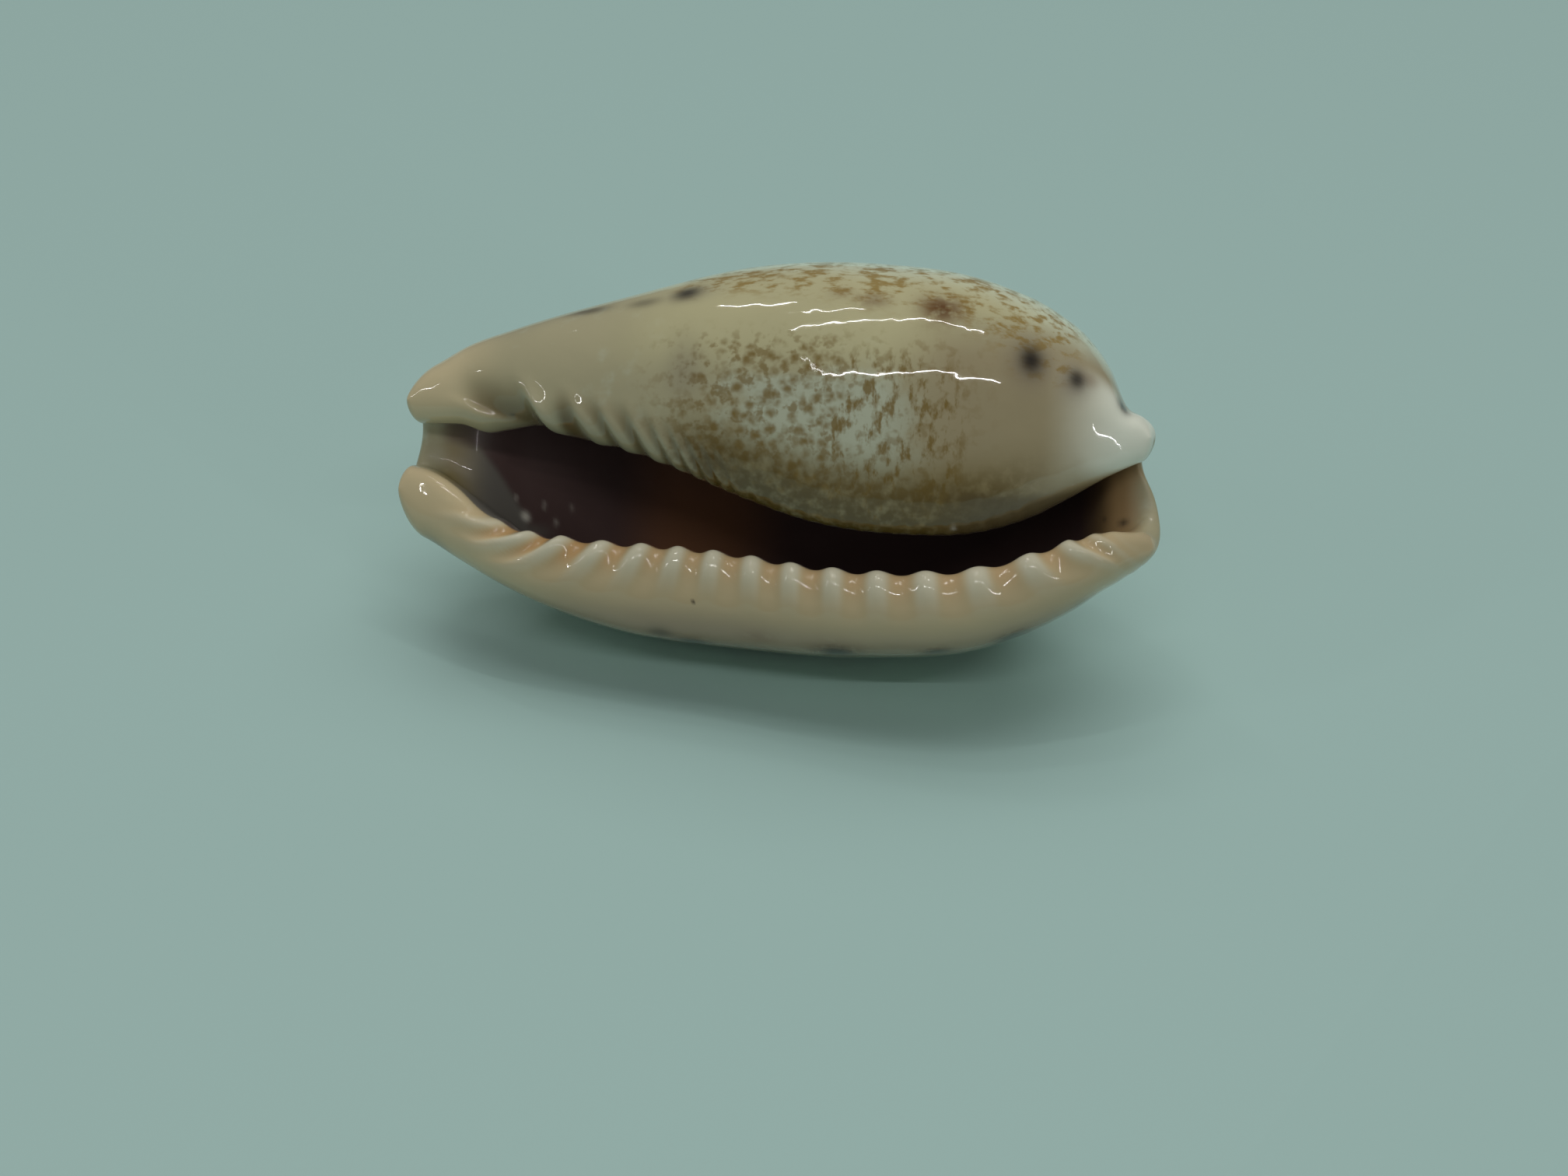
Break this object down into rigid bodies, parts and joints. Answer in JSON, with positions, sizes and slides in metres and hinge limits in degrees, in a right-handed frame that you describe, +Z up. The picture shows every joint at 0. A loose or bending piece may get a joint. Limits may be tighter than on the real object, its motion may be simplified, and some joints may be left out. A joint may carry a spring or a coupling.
{
  "type": "caurica cowrie shell",
  "caption": "Egg-shaped glossy cowrie shell lying on its side, its long toothed slit facing forward and up.",
  "frame": {"origin": "centre of the small flat spot the shell rests on, at the lowest point of its back", "axes": "+X along the shell from the front (siphonal) end to the rear (spire) end, -Y towards the side the slit faces, +Z up"},
  "size_m": [0.0429, 0.0216, 0.0219],
  "materials": {
    "glossy_shell": "naturally glossy shell: cream base, pale blue-green back with fine olive-brown speckles and dark margin spots"
  },
  "bodies": {
    "root": {"cowrie_shell": "glossy_shell"}
  },
  "joints": []
}
